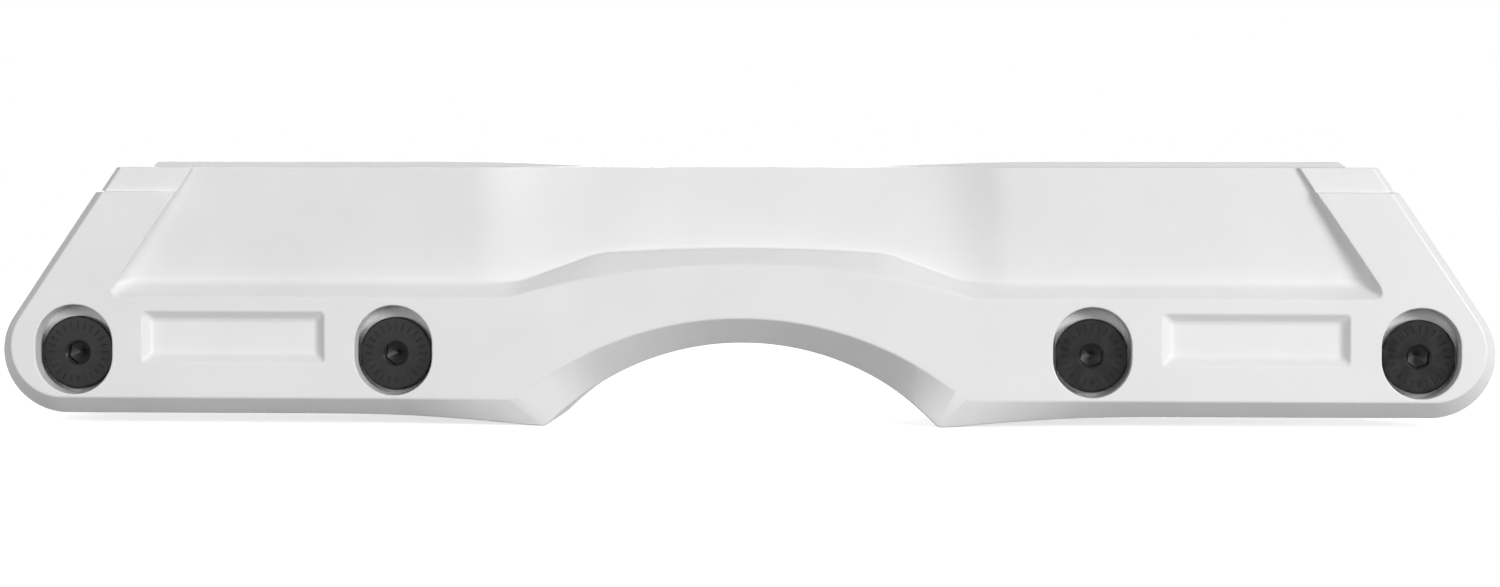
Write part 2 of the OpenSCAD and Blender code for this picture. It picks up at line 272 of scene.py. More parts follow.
# %% Divide the long faces between the places of the later cuts
BAY_MIDDLE = (INNER_X + OUTER_X) / 2
DIVIDE_AT = [0.0, 13.0, 26.0, 34.0, 50.0, INNER_X, 79.0, BAY_MIDDLE, 121.8, OUTER_X]


def both_ways(values):
    return sorted(set(values + [-value for value in values]))


pick(chassis)
bpy.ops.object.mode_set(mode="EDIT")
for x in both_ways(DIVIDE_AT):
    bpy.ops.mesh.select_all(action="SELECT")
    bpy.ops.mesh.bisect(plane_co=(x, 0, 0), plane_no=(1, 0, 0))
bpy.ops.object.mode_set(mode="OBJECT")
print("divided blank:", len(chassis.data.polygons), "faces")

# %% [markdown]
# ## Sunken upper walls and the waist
# Above the axles the side walls step back behind a band, which crowns over the arch, and behind the end
# panels. In the middle the wall draws in further to a waist, with soft shoulders. Pulling faces about
# would leave dents, so all of that is one cutter, lofted from end to end. First come the curves that say
# how high and how deep it is at each place.

# %% Heights and depths of the wall, in millimetres
BAND_Z, LEDGE_H, BAND_CROWN, WALL_CROWN = 25.3, 2.8, 6.6, 5.7
CROWN_RUN, CROWN_FLAT, CROWN_TOP, CROWN_EASE = 46.0, 26.0, 0.9, 0.2
WALL_IN, WALL_FLARE = 4.0, 2.0
WAIST_IN, WAIST_FLAT, WAIST_RUN = 6.2, 31.5, 21.0
WAIST_EASE_OUT, WAIST_EASE_IN = 0.16, 0.66
FLANK_FOOT, FLANK_TOP = 3.3, 1.0
SHARE_FOOT, SHARE_TOP = 0.55, 0.25
wall_foot_z = BAND_Z + LEDGE_H
band_r = chord_radius(CROWN_RUN, BAND_CROWN)


def ramp(t, first, last):
    """A straight rise from 0 to 1 whose two ends are rounded over the shares first and last."""
    whole_rise = 1 - (first + last) / 2
    if t <= 0 or t >= 1:
        return float(t >= 1)
    if t < first:
        return t * t / (2 * first) / whole_rise
    if t < 1 - last:
        return (t - first / 2) / whole_rise
    return 1 - (1 - t) ** 2 / (2 * last) / whole_rise


def band_edge(x):
    if abs(x) > CROWN_RUN:
        return BAND_Z
    return BAND_Z + BAND_CROWN - band_r + math.sqrt(band_r ** 2 - x ** 2)


def wall_foot(x):
    rise = ramp((CROWN_RUN - abs(x)) / (CROWN_RUN - CROWN_FLAT), CROWN_EASE, CROWN_EASE)
    top = max(0.0, 1 - (x / CROWN_FLAT) ** 2) * CROWN_TOP
    return wall_foot_z + WALL_CROWN * rise + top


def waist_share(x):
    return ramp((WAIST_FLAT + WAIST_RUN - abs(x)) / WAIST_RUN, WAIST_EASE_OUT, WAIST_EASE_IN)


def up_wall(z):
    """0 at the wall's foot and 1 at the deck."""
    return (z - wall_foot_z) / (TOP_Z - wall_foot_z)


def wall_depth(x, z):
    """How far the wall lies behind the side face."""
    return mix(WALL_IN - WALL_FLARE * up_wall(z), WAIST_IN, waist_share(x))


def ledge_depth(x):
    """The ledge ends where the wall starts, or at a shelf in front of the deeper waist."""
    return min(WALL_IN, wall_depth(x, wall_foot(x)))


def flank_width(z):
    return mix(FLANK_FOOT, FLANK_TOP, up_wall(z))


def flank_share(z):
    """How much of the flank's height its fillet takes."""
    return mix(SHARE_FOOT, SHARE_TOP, up_wall(z))


print("band at", BAND_Z, "mm, waist", WAIST_IN, "mm behind the face")

# %% [markdown]
# A section of the cutter starts outside the band's rim. It goes up the ledge and over the shelf in front
# of the waist, turns through a fillet and climbs the wall to above the deck. One more point just outside
# each rim keeps the cut edge smooth: a long twisted face that crosses a rim would leave it ragged.

# %% Section of the cutter
PAST, NEAR_RIM = 1.0, 0.03
PANEL_W, FLANK_DRAFT, RIM_RUN = 16.2, 0.15, 2.8
LEDGE_FILLET, WAIST_FILLET, FILLET_MOST, SHELF_SLOPE = 1.2, 0.5, 0.6, 0.15
WALL_LEVELS, FILLET_STEPS, SETTLE_PASSES = 6, 8, 6
STATIONS = 72
FACE_Y, OUTSIDE_Y = -HALF_W, -HALF_W - 5.0
cut_top = BLANK_TOP + PAST
flank_x = lean_x(end_reach, 0.0) - PANEL_W


def curve(a, b, c, t):
    """A point of the round corner at b, between a and c."""
    return (1 - t) ** 2 * a + 2 * t * (1 - t) * b + t ** 2 * c


def panel_edge(z):
    return flank_x - z * math.tan(END_LEAN)


def rim_lift(gap):
    """The ledge's rim runs up in a quarter round where it is less than RIM_RUN from the end panel."""
    near = 1 - min(1.0, max(0.0, gap / RIM_RUN))
    return 1 - math.sqrt(1 - near ** 2)


def section(place):
    """Points up the wall; place(z) gives X and how much of the wall's depth is left."""
    def on_ledge(share):
        # X and height depend on each other here, so a few passes settle them
        z = BAND_Z + LEDGE_H * share
        for _ in range(SETTLE_PASSES):
            x, left = place(z)
            low = mix(band_edge(x), wall_foot(x), rim_lift(panel_edge(z) - x))
            z = mix(low, wall_foot(x), left * share)
        x, left = place(z)
        return Vector((x, FACE_Y + share * left * ledge_depth(x), z))

    def on_wall(z):
        x, left = place(z)
        return Vector((x, FACE_Y + left * wall_depth(x, z), z))

    crest, rim = on_ledge(1.0), on_ledge(0.0)
    outward = Vector((0.0, -ledge_depth(rim.x), rim.z - wall_foot(rim.x))).normalized()
    shelf = max(0.0, on_wall(crest.z).y - crest.y)
    foot = on_wall(crest.z + SHELF_SLOPE * shelf) if shelf else crest

    def before_foot(distance):
        """A point at a distance in front of the wall's foot, over the shelf and down the ledge."""
        if distance < shelf:
            return foot.lerp(crest, distance / shelf)
        return crest + outward * (distance - shelf)

    reach = mix(LEDGE_FILLET, WAIST_FILLET, waist_share(foot.x))
    reach = min(reach, FILLET_MOST * (foot - rim).length)
    start, end = before_foot(reach), on_wall(foot.z + reach)
    over_rim = TOP_Z + NEAR_RIM
    points = [rim + outward * PAST, rim + outward * NEAR_RIM, before_foot(max(shelf, reach + NEAR_RIM))]
    points += [curve(start, foot, end, step / FILLET_STEPS) for step in range(FILLET_STEPS + 1)]
    points += [on_wall(mix(end.z, over_rim, step / WALL_LEVELS)) for step in range(1, WALL_LEVELS + 1)]
    points.append(on_wall(cut_top))
    points += [Vector((points[-1].x, OUTSIDE_Y, cut_top)), Vector((points[0].x, OUTSIDE_Y, points[0].z))]
    return points


def along_wall(share):
    return lambda z: (share * (panel_edge(z) - FLANK_DRAFT - flank_width(z)), 1.0)


print("section of the cutter:", len(section(along_wall(0.0))), "points")

# %% [markdown]
# Along the wall the sections stand at even steps. Beside an end panel they shrink to nothing in the last
# few steps, which makes a fillet and a steep flank. Only one half is worked out: turned round it gives
# the other half, and a mirror modifier makes the cutter for the far side.

# %% Loft the cutter along the frame and cut both sides
FLANK_STEPS, FLANK_OUT = 9, 3.0


def up_flank(angle):
    """The fillet between the wall and the steep flank beside the end panel."""
    over, rise = math.sin(angle) - 1, 1 - math.cos(angle)
    return lambda z: (panel_edge(z) - FLANK_DRAFT + over * flank_width(z), 1 - flank_share(z) * rise)


places = [along_wall(step / STATIONS) for step in range(STATIONS + 1)]
places += [up_flank(math.radians(90) * step / FLANK_STEPS) for step in range(1, FLANK_STEPS + 1)]
right_half = [section(place) for place in places]
# The flank goes on in a straight line until it is outside the face
right_half.append([point + Vector((2 * FLANK_DRAFT, -FLANK_OUT, 0.0)) for point in right_half[-1]])
left_half = [[Vector((-p.x, p.y, p.z)) for p in ring] for ring in reversed(right_half[1:])]
recess = loft("recess", left_half + right_half)
mirror(recess, y=True)
cut(chassis, recess)
print("upper walls cut:", len(chassis.data.polygons), "faces")

# %% [markdown]
# ## Boot seats
# The boot stands on two raised seats with a low saddle between them. Blocks added on top would leave a
# seam. Instead, one cutter has the swell of the deck on its underside and takes off all that is above, so
# the seats and the saddle run into each other.

# %% Shape the deck with its two boot seats
SEAT_RAISE, SEAT_W, SEAT_FROM_END, SEAT_SOFT = 1.1, 30.0, 5.0, 2.0
SADDLE_FLAT, SADDLE_RUN = 10.0, 48.0
SOFT_STEPS = 12
DECK_STOPS = [6, 10, 13, 16, 20, 24, 28, 31, 35, 39, 55]
SEAT_Z = TOP_Z + SEAT_RAISE
seat_end = lean_x(end_reach, TOP_Z) - STEP_IN - SEAT_FROM_END
seat_side = SEAT_W / 2


def soft_step(t):
    t = min(1.0, max(0.0, t))
    return t * t * (3 - 2 * t)


def deck_z(x, y):
    """The deck swells out to the seats and is low in the saddle between them."""
    rise = ease((abs(x) - SADDLE_FLAT) / SADDLE_RUN) * soft_step((seat_end - abs(x)) / SEAT_SOFT)
    return TOP_Z + SEAT_RAISE * rise * soft_step((seat_side - abs(y)) / SEAT_SOFT)


border = [SEAT_SOFT * step / SOFT_STEPS for step in range(SOFT_STEPS + 1)]
# The deck is divided half way between stations of the wall, so no two points fall close together
station = (panel_edge(TOP_Z) - FLANK_DRAFT - flank_width(TOP_Z)) / STATIONS
stops = [0.0] + [(stop + 0.5) * station for stop in DECK_STOPS]
stops += [seat_end - step for step in border] + [END_X + PAST]
beside = HALF_W + PAST
levels = [seat_side - step for step in border] + [beside]
over_deck = []
for x in both_ways(stops):
    ring = [(x, y, deck_z(x, y)) for y in both_ways(levels)]
    over_deck.append(ring + [(x, beside, cut_top), (x, -beside, cut_top)])
cut(chassis, loft("over_deck", over_deck))
print("deck cut at", TOP_Z, "mm with seats at", SEAT_Z, "mm")

# %% [markdown]
# ## Wheel bays
# Below the deck, each half of the frame is hollow for two wheels and open at its end. The bay's ceiling
# meets its walls in a fillet, as a mould needs. It is easier to round the cutter, which has few edges to
# choose from, and the cut then leaves its print in the frame.

# %% Hollow the wheel bays
BAY_W, WHEEL_ROOM_R, BAY_STEPS = 28.0, 31.5, 40
BAY_FILLET, BAY_FILLET_STEPS = 1.6, 9


def round_edges(piece, radius, segments, wanted):
    """Rounds the edges whose two end points wanted() accepts."""
    pick(piece)
    bpy.ops.object.mode_set(mode="EDIT")
    bpy.ops.mesh.select_mode(type="EDGE")
    bpy.ops.mesh.select_all(action="DESELECT")
    mesh = bmesh.from_edit_mesh(piece.data)
    for edge in mesh.edges:
        if wanted(edge.verts[0].co, edge.verts[1].co):
            edge.select_set(True)
    bmesh.update_edit_mesh(piece.data)
    bpy.ops.mesh.bevel(offset=radius, segments=segments, affect="EDGES", clamp_overlap=True)
    bpy.ops.object.mode_set(mode="OBJECT")


def beside_bay_ceiling(a, b):
    """An edge on one side of the bay that stays clear of its open lower corner."""
    return a.y * b.y > 0 and all(point.z > 0 or point.x < END_X for point in (a, b))


bay_top = AXLE_Z + WHEEL_ROOM_R
low_angle = 180.0 + math.degrees(math.asin((AXLE_Z + PAST) / WHEEL_ROOM_R))
bay_outline = [(END_X + PAST, -PAST), (END_X + PAST, bay_top)]
bay_outline += arc((INNER_X, AXLE_Z), WHEEL_ROOM_R, 90.0, low_angle, BAY_STEPS)
bay = loft("bay", [across(bay_outline, side * BAY_W / 2) for side in (-1, 1)])
round_edges(bay, BAY_FILLET, BAY_FILLET_STEPS, beside_bay_ceiling)
mirror(bay, x=True)
cut(chassis, bay)
print("bays cut:", len(chassis.data.polygons), "faces")

# %% [markdown]
# Round bosses stand out of the walls of a bay, so that only the bearings' inner rings touch the frame.
# Each is a cylinder that starts inside the wall, so one union joins it without a gap.

# %% Stand the bearing bosses out of the bay walls
BOSS_R, BOSS_GAP, ROD_POINTS = 7.0, 24.2, 64


def rod(name, radius, y0, y1, x):
    """A round bar along Y on an axle's centre line, from a cylinder primitive."""
    pick_none()
    bpy.ops.mesh.primitive_cylinder_add(
        vertices=ROD_POINTS, radius=radius, depth=y1 - y0, location=(x, (y0 + y1) / 2, AXLE_Z),
        rotation=(math.radians(90), 0, 0))
    bar = bpy.context.object
    bar.name = name
    bpy.ops.object.transform_apply(location=True, rotation=True, scale=True)
    return bar


for axle_x in (INNER_X, OUTER_X):
    boss = rod("boss", BOSS_R, -BAY_W / 2 - PAST, -BOSS_GAP / 2, axle_x)
    mirror(boss, x=True, y=True)
    combine(chassis, boss, "UNION")
print("bosses added:", len(chassis.data.polygons), "faces")

# %% [markdown]
# ## Holes, recesses and pockets
# The axle heads sit in tall round-ended recesses, whose straight sides stop a keyed head from turning. A
# drill would leave them round, so the recess is lofted from its own outline, and its floor gets a small
# fillet. A plain rod then bores through the middle for the axle.

# %% Axle bores and head recesses
RECESS_W, RECESS_H, RECESS_UP, RECESS_STEPS = 15.3, 17.7, 0.8, 24
RECESS_FILLET, RECESS_FILLET_STEPS = 0.5, 5
HEAD_SEAT_WALL, BORE_R = 1.7, 4.05
HEAD_SEAT_Y = BAY_W / 2 + HEAD_SEAT_WALL


def long_round(width, length):
    """A round-ended outline, as long as it says in its second direction."""
    half = (length - width) / 2
    upper = arc((0.0, half), width / 2, 0.0, 180.0, RECESS_STEPS)
    return upper + arc((0.0, -half), width / 2, 180.0, 360.0, RECESS_STEPS)


def on_recess_floor(a, b):
    return min(a.y, b.y) > -HALF_W


for axle_x in (INNER_X, OUTER_X):
    ring = [(axle_x + x, AXLE_Z + RECESS_UP + z) for x, z in long_round(RECESS_W, RECESS_H)]
    head_recess = loft("head_recess", [across(ring, -HEAD_SEAT_Y), across(ring, -HALF_W - PAST)])
    round_edges(head_recess, RECESS_FILLET, RECESS_FILLET_STEPS, on_recess_floor)
    mirror(head_recess, x=True, y=True)
    cut(chassis, head_recess)
    bore = rod("bore", BORE_R, -HEAD_SEAT_Y - PAST, HEAD_SEAT_Y + PAST, axle_x)
    mirror(bore, x=True)
    cut(chassis, bore)
print("recesses and bores cut:", len(chassis.data.polygons), "faces")

# %% [markdown]
# Between the two axles of a bay there is a shallow pocket with sloping borders, which saves material. An
# inset on the side face would follow the face's edges, so the pocket is a cutter of its own with soft
# corners. Near the top the end panels step back a little, and one long block makes that step at both
# ends.

# %% Side pockets and the step of the end panels
POCKET_L, POCKET_H, POCKET_Z, POCKET_SLOPE, POCKET_D = 36.3, 10.2, 17.4, 1.7, 1.8
POCKET_FILLET, POCKET_FILLET_STEPS = 0.7, 8


def pocket_ring(out):
    """The pocket's ring at a distance out from its floor."""
    grow = POCKET_SLOPE * (out / POCKET_D - 1)
    half_l, half_h = POCKET_L / 2 + grow, POCKET_H / 2 + grow
    corners = [(half_l, half_h), (-half_l, half_h), (-half_l, -half_h), (half_l, -half_h)]
    return across([(BAY_MIDDLE + x, POCKET_Z + z) for x, z in corners], -HALF_W + POCKET_D - out)


def touches_pocket_floor(a, b):
    return max(a.y, b.y) > -HALF_W


def block(name, size, middle):
    """A box from a cube primitive."""
    pick_none()
    bpy.ops.mesh.primitive_cube_add(size=1.0, scale=size, location=middle)
    box = bpy.context.object
    box.name = name
    bpy.ops.object.transform_apply(location=True, rotation=True, scale=True)
    return box


pocket = loft("pocket", [pocket_ring(0.0), pocket_ring(POCKET_D + PAST)])
round_edges(pocket, POCKET_FILLET, POCKET_FILLET_STEPS, touches_pocket_floor)
mirror(pocket, x=True, y=True)
cut(chassis, pocket)
step_size = (2 * END_X, STEP_IN + PAST, BLANK_TOP - STEP_Z)
step_middle = (0.0, -HALF_W + (STEP_IN - PAST) / 2, (BLANK_TOP + STEP_Z) / 2)
step_block = block("step_block", step_size, step_middle)
mirror(step_block, y=True)
cut(chassis, step_block)
print("pockets and steps cut:", len(chassis.data.polygons), "faces")

# %% [markdown]
# The deck has a slot for each boot bolt, so that the frame can be shifted under the boot, with a relief
# above it and a seat for the bolt's head below. Two deep core pockets keep the walls of the block as thin
# as the rest, because thick nylon sinks as it cools. All of them are cutters that stand upright.

# %% Boot bolt slots and core pockets
SLOT_X, SLOT_W, SLOT_L = 83.5, 6.6, 14.0
RELIEF_W, RELIEF_L, RELIEF_D = 15.0, 38.0, 0.7
WASHER_W, WASHER_L, WASHER_D = 13.0, 21.0, 1.6
CORE_L, CORE_W, CORE_Z, CORE_RIB = 26.0, 18.0, 24.0, 5.0
CORE_FILLET, CORE_FILLET_STEPS = 2.0, 9
above_seats = SEAT_Z + PAST


def deck_cut(name, width, length, low, high):
    ring = [(SLOT_X + along, side) for side, along in long_round(width, length)]
    tool = loft(name, [[(x, y, z) for x, y in ring] for z in (low, high)])
    mirror(tool, x=True)
    cut(chassis, tool)


def below_core_mouth(a, b):
    return min(a.z, b.z) < SEAT_Z


deck_cut("relief", RELIEF_W, RELIEF_L, SEAT_Z - RELIEF_D, above_seats)
deck_cut("washer_seat", WASHER_W, WASHER_L, AXLE_Z, bay_top + WASHER_D)
deck_cut("boot_slot", SLOT_W, SLOT_L, AXLE_Z, above_seats)
core_middle = ((CORE_RIB + CORE_L) / 2, 0.0, (above_seats + CORE_Z) / 2)
core = block("core", (CORE_L, CORE_W, above_seats - CORE_Z), core_middle)
round_edges(core, CORE_FILLET, CORE_FILLET_STEPS, below_core_mouth)
mirror(core, x=True)
cut(chassis, core)
print("slots and core pockets cut:", len(chassis.data.polygons), "faces")

# %% [markdown]
# ## Soft edges
# No edge of a moulding is a knife edge. A bevel modifier would round every edge alike, but a few edges
# here lie between surfaces that only run into each other, and a rounding there would show as a seam. So
# rules pick those edges out first, by their place.

# %% Rules for the edges that stay as they are
ON_SURFACE = 0.03
BLOCK_CORNER_REACH, BLOCK_CORNER_ACROSS = 10.0, 1.0
SHELF_BELOW, SHELF_ABOVE = -1.0, 1.5
FLANK_TIP_REACH = 4.0
flank_tip = Vector((panel_edge(wall_foot_z), HALF_W, wall_foot_z))


def on_deck(point):
    return abs(point.z - deck_z(point.x, point.y)) < ON_SURFACE


def on_shelf(point):
    """The crest, shelf and fillet in front of the waist run into each other softly."""
    along = abs(point.x) < WAIST_FLAT + WAIST_RUN
    up = SHELF_BELOW < point.z - wall_foot(point.x) < SHELF_ABOVE
    return along and up and HALF_W - abs(point.y) > WALL_IN / 2


def near_block_corner(point):
    return abs(abs(point.x) - CORNER_X) < BLOCK_CORNER_REACH and point.z < 2 * face_foot


def near_flank_tip(point):
    return (Vector((abs(point.x), abs(point.y), point.z)) - flank_tip).length < FLANK_TIP_REACH


def along_shelf(a, b):
    return on_shelf(a) and on_shelf(b)


def across_block_corner(a, b):
    """The bevel turns softly round the corner of the block."""
    return near_block_corner(a) and near_block_corner(b) and abs(a.y - b.y) > BLOCK_CORNER_ACROSS


def across_step(a, b):
    """The short edge where the step of an end panel runs out into the flank."""
    level = max(abs(a.z - STEP_Z), abs(b.z - STEP_Z)) < ON_SURFACE
    return level and abs(a.y - b.y) > ON_SURFACE and max(abs(a.x), abs(b.x)) < panel_edge(STEP_Z) + PAST


def inside_flank_tip(a, b):
    """The small surfaces in the lowest corner of the recess run together softly, below its rim."""
    return near_flank_tip(a) and near_flank_tip(b) and min(abs(a.y), abs(b.y)) < HALF_W - ON_SURFACE


SOFT_RULES = [along_shelf, across_block_corner, across_step, inside_flank_tip]
print("soft rules:", [rule.__name__ for rule in SOFT_RULES])

# %% [markdown]
# The cuts leave doubled points, and points along straight edges, that would pinch a rounding, so the mesh
# is cleaned of them. Every other edge that turns by more than a small angle is then rounded in one go,
# because roundings that meet have to share their corners. Weighted normals keep the large faces flat, so
# only the rounding catches the light.

# %% Clean the mesh and round the sharp edges
EDGE_R, EDGE_STEPS = 0.3, 3
SHARP, STEEP, STRAIGHT = math.radians(15.0), math.radians(45.0), math.radians(4.0)
DOUBLES, SLIVERS, ROUNDED_DOUBLES = 0.02, 0.01, 0.005


def clean(piece, doubles, slivers):
    """Merges doubled points and drops slivers, and stays in edit mode with nothing selected."""
    pick(piece)
    bpy.ops.object.mode_set(mode="EDIT")
    bpy.ops.mesh.select_mode(type="VERT")
    bpy.ops.mesh.select_all(action="SELECT")
    bpy.ops.mesh.remove_doubles(threshold=doubles)
    bpy.ops.mesh.dissolve_degenerate(threshold=slivers)
    bpy.ops.mesh.select_all(action="DESELECT")


clean(chassis, DOUBLES, SLIVERS)
mesh = bmesh.from_edit_mesh(chassis.data)
for vertex in mesh.verts:
    vertex.select_set(len(vertex.link_edges) == 2 and vertex.calc_edge_angle(math.pi) < STRAIGHT)
bpy.ops.mesh.dissolve_verts()
bpy.ops.mesh.select_all(action="DESELECT")
bpy.ops.mesh.select_mode(type="EDGE")
bpy.ops.mesh.edges_select_sharp(sharpness=SHARP)
mesh = bmesh.from_edit_mesh(chassis.data)
for edge in mesh.edges:
    a, b = [vertex.co for vertex in edge.verts]
    soft = on_deck(a) and on_deck(b) and edge.calc_face_angle(0.0) < STEEP
    soft = soft or any(rule(a, b) for rule in SOFT_RULES)
    if edge.select and soft:
        edge.select_set(False)
bmesh.update_edit_mesh(chassis.data)
bpy.ops.mesh.bevel(
    offset=EDGE_R, segments=EDGE_STEPS, affect="EDGES", clamp_overlap=False, loop_slide=True,
    miter_outer="SHARP", miter_inner="SHARP")
bpy.ops.mesh.select_all(action="SELECT")
bpy.ops.mesh.remove_doubles(threshold=ROUNDED_DOUBLES)
bpy.ops.object.mode_set(mode="OBJECT")
chassis.scale = (MM, MM, MM)
bpy.ops.object.transform_apply(location=False, rotation=False, scale=True)
bpy.ops.object.shade_smooth()
apply_modifier(chassis, "WEIGHTED_NORMAL", keep_sharp=True)
chassis.data.calc_loop_triangles()
print("chassis:", len(chassis.data.loop_triangles), "triangles")

# %% [markdown]
# ## The axles
# Each axle is a turned steel barrel with a flat head, and a bolt from the far side that screws into it.
# Turned parts are lathe work, so their profile is a list of radii along the axis, and each radius gives
# one ring of the loft. The two heads are alike, so barrel and bolt share one head profile.

# %% The head's profile, shared by barrel and bolt
HEAD_R, HEAD_FACE_Y = 7.25, 18.3
LATHE_POINTS = 96
# Radius and depth below the face: a ring round the socket, the rounded rim, the side and the underside
HEAD_PROFILE = [
    (2.95, 0.0), (6.78, 0.0), (7.04, 0.07), (7.19, 0.22), (HEAD_R, 0.5), (HEAD_R, 2.4), (7.05, 2.6),
]


def turned(name, profile):
    """A lathe solid along Y from (radius, y) pairs."""
    turns = [2 * math.pi * step / LATHE_POINTS for step in range(LATHE_POINTS)]
    return loft(name, [[(r * math.cos(a), y, r * math.sin(a)) for a in turns] for r, y in profile])


def under_face(side, profile):
    """The (radius, depth) pairs of a profile as (radius, y) pairs."""
    return [(r, side * (HEAD_FACE_Y - depth)) for r, depth in profile]


print("head face at", HEAD_FACE_Y, "mm, radius", HEAD_R)

# %% [markdown]
# A key turns the axle by the hexagon socket, which has a drill point at its bottom and a small lead-in at
# its mouth. Round it runs a ring of fine tick marks. One tick is a block that spin copies round the axis,
# so a single cut makes them all. The edges of steel are only broken, so their rounding is very small.

# %% Hexagon socket, tick marks and broken edges
HEX_R, HEX_DEPTH, HEX_TURN = 2.0 / math.cos(math.radians(30)), 3.4, math.radians(82)
HEX_CONE, HEX_POINT_R = 0.9, 0.2
LEAD_IN = [(HEX_R + 0.35, -0.1), (HEX_R + 0.25, 0.0), (HEX_R - 0.35, 0.42)]
TICKS, TICK_W, TICK_FROM, TICK_TO, TICK_D = 24, 0.3, 4.75, 6.05, 0.2
STEEL_EDGE_R, STEEL_EDGE_STEPS, STEEL_SHARP = 0.05, 2, math.radians(35.0)
STEEL_DOUBLES, STEEL_SLIVERS = 0.004, 0.002


def cut_socket(piece, side):
    def hexagon(radius, depth):
        turns = [HEX_TURN + math.radians(60) * step for step in range(6)]
        return [(radius * math.cos(a), side * (HEAD_FACE_Y - depth), radius * math.sin(a)) for a in turns]

    sides_end = HEX_DEPTH - HEX_CONE
    rings = [hexagon(HEX_R, -PAST), hexagon(HEX_R, sides_end), hexagon(HEX_POINT_R, HEX_DEPTH)]
    cut(piece, loft("hexagon", rings))
    cut(piece, turned("lead_in", under_face(side, LEAD_IN)))


def cut_ticks(piece, side):
    middle = ((TICK_FROM + TICK_TO) / 2, side * HEAD_FACE_Y, 0.0)
    tick = block("tick", (TICK_TO - TICK_FROM, 2 * TICK_D, TICK_W), middle)
    bpy.ops.object.mode_set(mode="EDIT")
    bpy.ops.mesh.select_all(action="SELECT")
    bpy.ops.mesh.spin(
        steps=TICKS - 1, dupli=True, angle=2 * math.pi * (TICKS - 1) / TICKS,
        center=(0, 0, 0), axis=(0, 1, 0))
    bpy.ops.object.mode_set(mode="OBJECT")
    print("tick cutter:", len(tick.data.polygons), "faces")
    cut(piece, tick)


def break_edges(piece):
    """Rounds every sharp edge of a turned piece a little and shades it smooth."""
    clean(piece, STEEL_DOUBLES, STEEL_SLIVERS)
    bpy.ops.mesh.select_mode(type="EDGE")
    bpy.ops.mesh.edges_select_sharp(sharpness=STEEL_SHARP)
    bpy.ops.mesh.bevel(
        offset=STEEL_EDGE_R, segments=STEEL_EDGE_STEPS, affect="EDGES",
        clamp_overlap=False, loop_slide=True)
    bpy.ops.object.mode_set(mode="OBJECT")
    bpy.ops.object.shade_smooth()
    apply_modifier(piece, "WEIGHTED_NORMAL", keep_sharp=False)


print("socket", HEX_DEPTH, "mm deep,", TICKS, "ticks")

# %% [markdown]
# ## Barrel
# The barrel carries the wheel's bearings. Its head has two flats that stop it turning in the recess, and
# its far end is drilled and tapped for the bolt. A boolean could take the flats off, but a bisect that
# fills its cut is quicker, like a file.

# %% Turn the barrel and file its flats
BARREL_R, BARREL_END, TAP_R, TAP_END = 4.0, 15.2, 3.0, 1.7
TIP_BACK, TIP_IN = 0.5, 0.4
MOUTH_BACK, MOUTH_OUT = 0.4, 0.3
DRILL_POINT = (0.2, 0.3)
HEAD_FLAT = 6.95
shank = [(BARREL_R, -HEAD_SEAT_Y), (BARREL_R, BARREL_END - TIP_BACK), (BARREL_R - TIP_IN, BARREL_END)]
mouth = [(TAP_R + MOUTH_OUT, BARREL_END), (TAP_R, BARREL_END - MOUTH_BACK)]
tapped_bore = mouth + [(TAP_R, TAP_END), DRILL_POINT]
barrel = turned("barrel", under_face(-1, HEAD_PROFILE) + shank + tapped_bore)
pick(barrel)
bpy.ops.object.mode_set(mode="EDIT")
for side in (-1, 1):
    bpy.ops.mesh.select_all(action="SELECT")
    bpy.ops.mesh.bisect(
        plane_co=(side * HEAD_FLAT, 0, 0), plane_no=(side, 0, 0), use_fill=True, clear_outer=True)
bpy.ops.object.mode_set(mode="OBJECT")
cut_ticks(barrel, -1)
cut_socket(barrel, -1)
break_edges(barrel)
print("barrel:", len(barrel.data.polygons), "faces")

# %% [markdown]
# ## Bolt
# The bolt's thread is a small ridge wound round its core. Stacked rings would look much like it but have
# no pitch, so the screw modifier winds it: one closed profile, turned and moved on by one pitch a turn.
# Two short lengths of thread leave a gap for the locking sleeve.

# %% Wind the thread and turn the bolt
ROOT_R, CREST_R, PITCH, TURN_STEPS = 2.35, 2.92, 1.0, 28
THREADS = [(2.75, 4.2), (9.2, 14.8)]
# Radius and distance along the bolt; the ridge's foot lies a little inside the core
RIDGE = [(ROOT_R - 0.1, -0.46), (CREST_R, -0.08), (CREST_R, 0.08), (ROOT_R - 0.1, 0.46)]
NECK_R, POINT_R, POINT_FROM = 2.9, 1.9, 2.2


def thread(y0, y1):
    turns = (y1 - y0) / PITCH
    steps = int(turns * TURN_STEPS)
    ridge = add_ring("thread", len(RIDGE))
    for vertex, (r, along) in zip(ridge.data.vertices, RIDGE):
        vertex.co = (r, y0 + along, 0.0)
    apply_modifier(
        ridge, "SCREW", axis="Y", angle=2 * math.pi * turns, screw_offset=y1 - y0, iterations=1,
        steps=steps, render_steps=steps)
    bpy.ops.object.mode_set(mode="EDIT")
    close_ends()
    return ridge


core_and_point = [(NECK_R, HEAD_SEAT_Y), (ROOT_R, BARREL_END), (ROOT_R, POINT_FROM), (POINT_R, TAP_END)]
bolt = turned("bolt", under_face(1, HEAD_PROFILE) + core_and_point)
cut_ticks(bolt, 1)
cut_socket(bolt, 1)
break_edges(bolt)
for y0, y1 in THREADS:
    combine(bolt, thread(y0, y1), "UNION")
print("bolt:", len(bolt.data.polygons), "faces")

# %% [markdown]
# ## Four axles
# The four axles are the same, so one barrel and one bolt are enough. Each copy gets a mesh of its own
# with its place in it, rides on its CAD body and stands in for that CAD node. Linked copies would be
# lighter, but then all four would have to share one place and one material.


